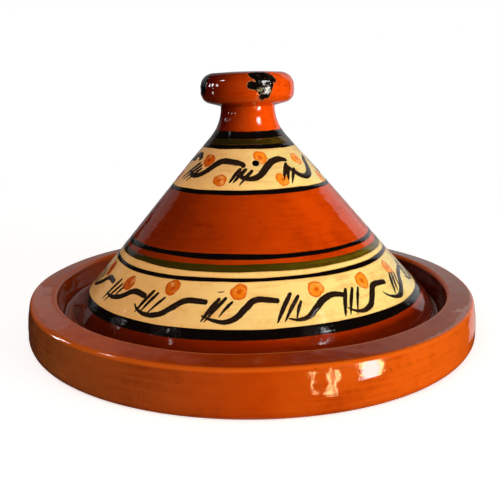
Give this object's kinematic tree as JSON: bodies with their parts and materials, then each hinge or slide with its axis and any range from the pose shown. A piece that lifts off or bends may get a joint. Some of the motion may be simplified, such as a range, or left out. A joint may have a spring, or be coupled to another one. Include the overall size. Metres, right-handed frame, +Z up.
{
  "type": "tagine pot",
  "caption": "Low thick-walled round clay dish with a hollow conical lid, a solid knob and a small steam vent, painted with bands of brush strokes and dots under a clear glaze.",
  "frame": {"origin": "middle of the underside, on the table", "axes": "+Z up, along the axis the pot was thrown on; the painted front faces -Y, +X to the right"},
  "size_m": [0.3048, 0.3048, 0.1749],
  "materials": {
    "red_clay_glaze": "high gloss clear glaze over red clay, bare and matt under the foot",
    "painted_lid_glaze": "high gloss clear glaze over bands of cream, olive and black slip on red clay",
    "knob_glaze": "high gloss clear glaze over red clay, with a pooled black patch"
  },
  "bodies": {
    "dish": {"base_dish": "red_clay_glaze"},
    "lid": {"lid_cone": "painted_lid_glaze", "lid_knob": "knob_glaze"}
  },
  "joints": [
    {"name": "lid_lift", "type": "slide", "parent": "dish", "child": "lid", "axis": [0, 0, 1], "range_m": [0, 0.2]}
  ]
}
